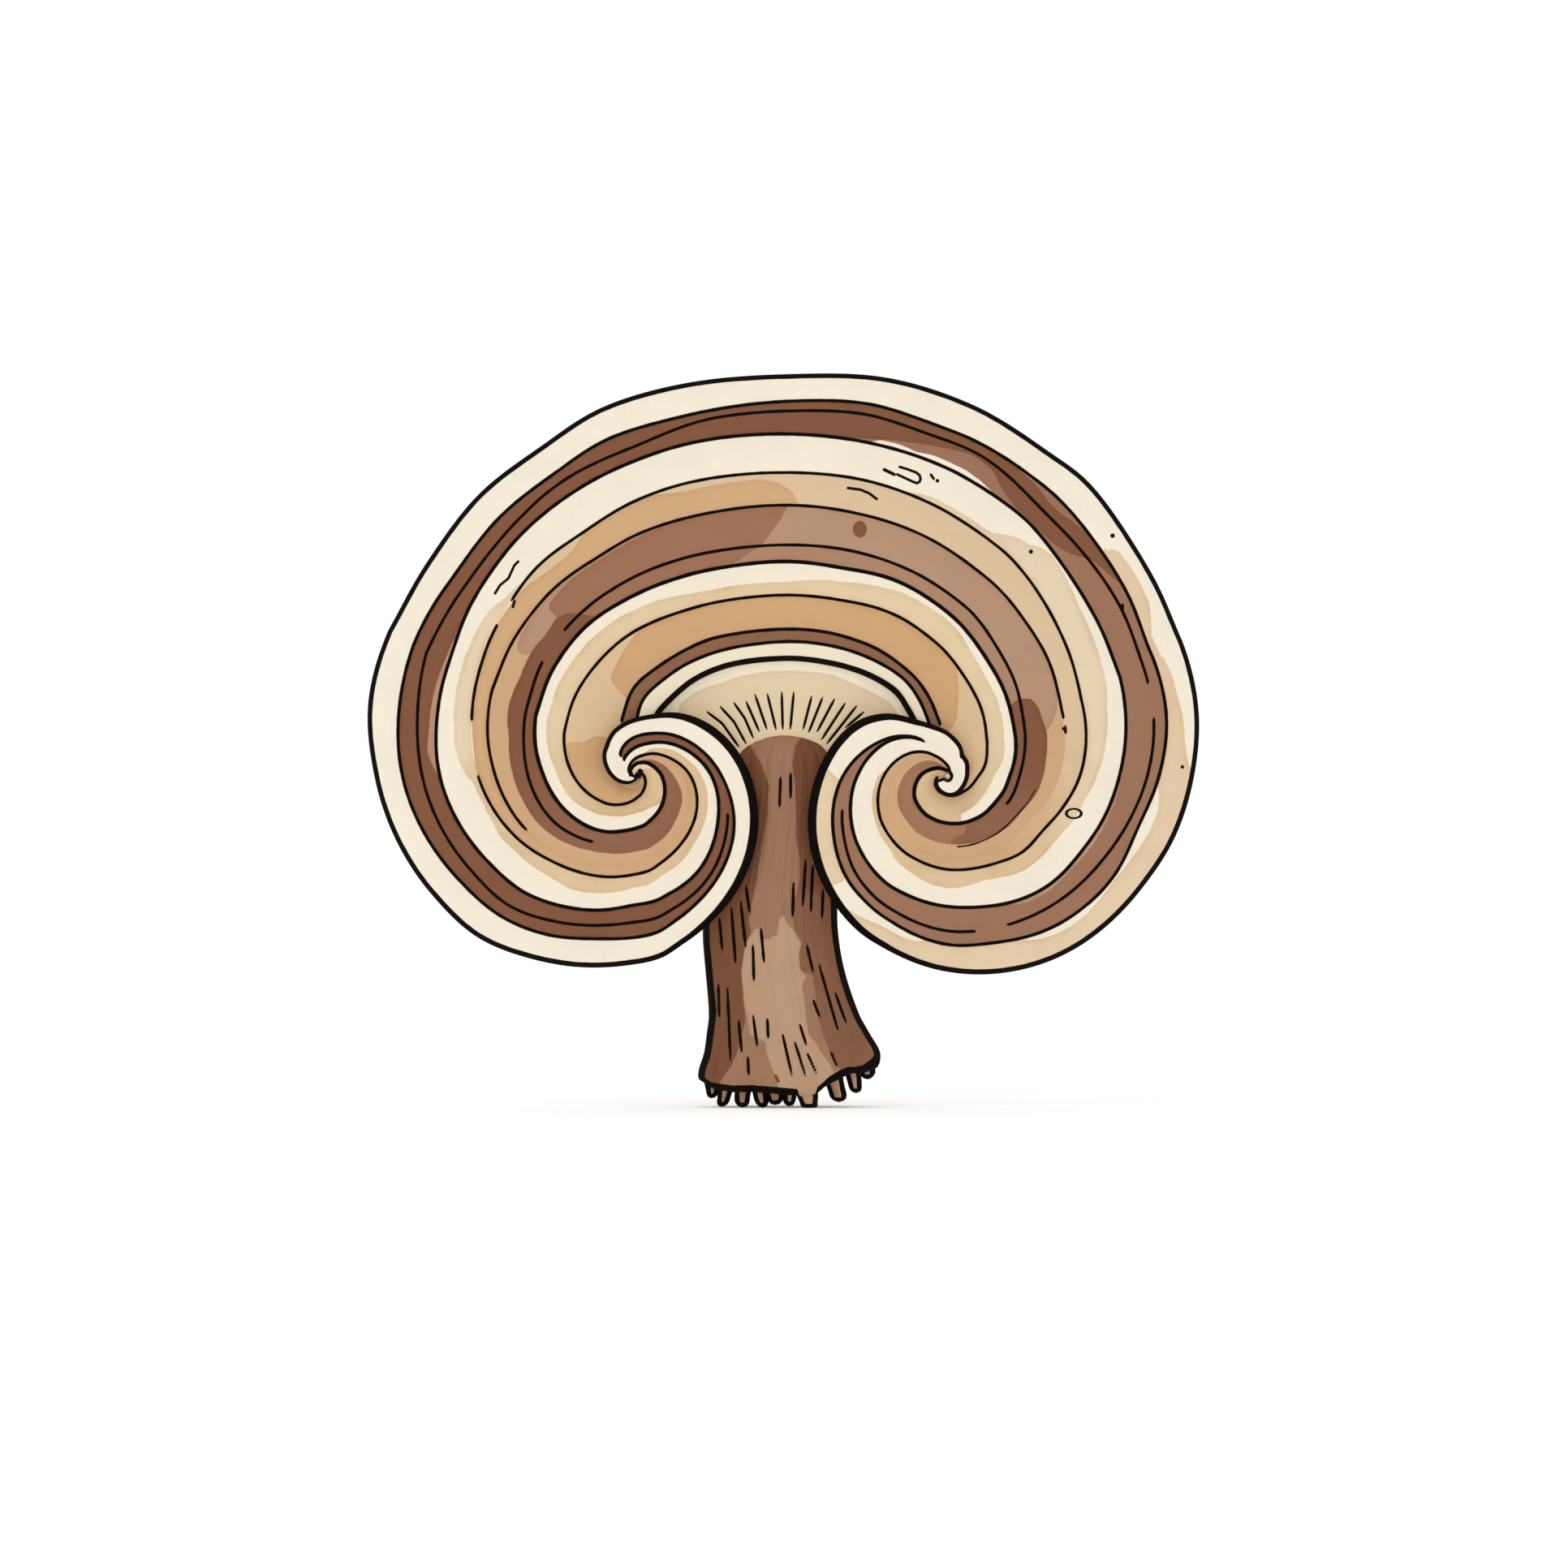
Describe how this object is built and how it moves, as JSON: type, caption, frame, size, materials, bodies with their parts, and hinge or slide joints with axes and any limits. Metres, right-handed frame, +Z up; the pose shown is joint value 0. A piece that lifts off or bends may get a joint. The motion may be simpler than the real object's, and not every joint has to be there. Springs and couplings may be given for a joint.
{
  "type": "turkey tail fungus",
  "caption": "Zoned leathery fan cap whose two sides curl down and inwards into scroll lobes over a fibrous stem with a flared, rooty foot, standing upright on its cut foot.",
  "frame": {"origin": "middle of the whole part's box, at the level of the cut foot", "axes": "+Z up the stem, -Y out of the zoned front face, +X to the right as seen from the front"},
  "size_m": [0.0798, 0.0116, 0.0708],
  "materials": {
    "cap_skin": "matt velvety leathery skin, zoned from cream to dark brown",
    "stem_fibre": "dull fibrous bark-like surface"
  },
  "bodies": {
    "root": {"cap": "cap_skin", "stem": "stem_fibre"}
  },
  "joints": []
}
